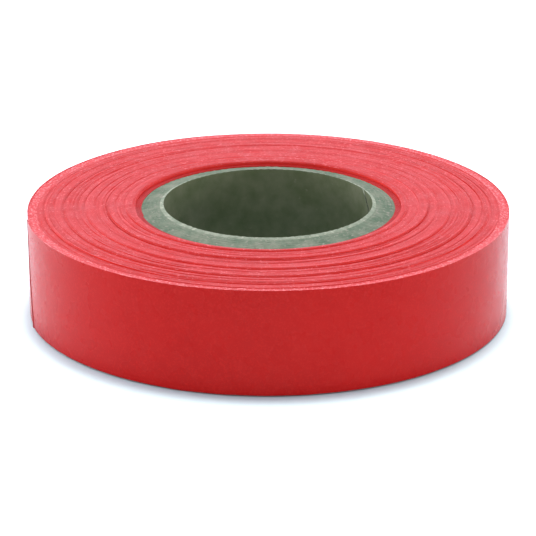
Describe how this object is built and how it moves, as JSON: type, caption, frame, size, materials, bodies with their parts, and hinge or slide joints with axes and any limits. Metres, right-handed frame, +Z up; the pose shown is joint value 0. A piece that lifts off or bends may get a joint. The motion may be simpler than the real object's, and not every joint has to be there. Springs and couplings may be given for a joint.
{
  "type": "electrical tape roll",
  "caption": "Roll of soft plastic insulating tape, wound on a spiral-ply paper core, with a free end that peels off the outside.",
  "frame": {"origin": "on the roll's axis, on the surface that the roll lies on", "axes": "+Z up along the roll's axis; +X to the right and -Y towards someone looking at the roll with its cut end at the left"},
  "size_m": [0.0877, 0.0877, 0.0198],
  "materials": {
    "film": "soft PVC film with a low sheen",
    "adhesive": "smooth, tacky",
    "core": "raw grey-green chipboard"
  },
  "bodies": {
    "roll": {"core_liner_ply": "core", "core_ply_2": "core", "core_ply_3": "core", "core_ply_4": "core", "core_ply_5": "core", "core_outer_ply": "core", "starting_turns": "film", "winding_01": "film", "winding_02": "film", "winding_03": "film", "winding_04": "film", "winding_05": "film", "winding_06": "film", "winding_07": "film", "winding_08": "film", "winding_09": "film", "winding_10": "film", "winding_11": "film", "outer_turn": "film"},
    "tail_1": {"tail_film_1": "film", "tail_adhesive_1": "adhesive"},
    "tail_2": {"tail_film_2": "film", "tail_adhesive_2": "adhesive"},
    "tail_3": {"tail_film_3": "film", "tail_adhesive_3": "adhesive"},
    "tail_4": {"tail_film_4": "film", "tail_adhesive_4": "adhesive"},
    "tail_5": {"tail_film_5": "film", "tail_adhesive_5": "adhesive"},
    "tail_6": {"tail_film_6": "film", "tail_adhesive_6": "adhesive"},
    "tail_7": {"tail_film_7": "film", "tail_adhesive_7": "adhesive"}
  },
  "joints": [
    {"name": "tail_peel", "type": "hinge", "parent": "roll", "child": "tail_1", "pos_m": [-0.00534, -0.04351, 0.00967], "axis": [0, 0, 1], "range_deg": [0, 60]},
    {"name": "tail_bend_2", "type": "hinge", "parent": "tail_1", "child": "tail_2", "pos_m": [-0.01282, -0.04193, 0.00967], "axis": [0, 0, 1], "range_deg": [0, 22]},
    {"name": "tail_bend_3", "type": "hinge", "parent": "tail_2", "child": "tail_3", "pos_m": [-0.01991, -0.03907, 0.00967], "axis": [0, 0, 1], "range_deg": [0, 22]},
    {"name": "tail_bend_4", "type": "hinge", "parent": "tail_3", "child": "tail_4", "pos_m": [-0.02639, -0.03503, 0.00967], "axis": [0, 0, 1], "range_deg": [0, 22]},
    {"name": "tail_bend_5", "type": "hinge", "parent": "tail_4", "child": "tail_5", "pos_m": [-0.03208, -0.02991, 0.00967], "axis": [0, 0, 1], "range_deg": [0, 22]},
    {"name": "tail_bend_6", "type": "hinge", "parent": "tail_5", "child": "tail_6", "pos_m": [-0.03679, -0.02389, 0.00967], "axis": [0, 0, 1], "range_deg": [0, 22]},
    {"name": "tail_bend_7", "type": "hinge", "parent": "tail_6", "child": "tail_7", "pos_m": [-0.04039, -0.01714, 0.00967], "axis": [0, 0, 1], "range_deg": [0, 22]}
  ],
  "couplings": [
    {"joint": "tail_bend_3", "follows": "tail_bend_2", "ratio": 1},
    {"joint": "tail_bend_4", "follows": "tail_bend_2", "ratio": 1},
    {"joint": "tail_bend_5", "follows": "tail_bend_2", "ratio": 1},
    {"joint": "tail_bend_6", "follows": "tail_bend_2", "ratio": 1},
    {"joint": "tail_bend_7", "follows": "tail_bend_2", "ratio": 1}
  ]
}
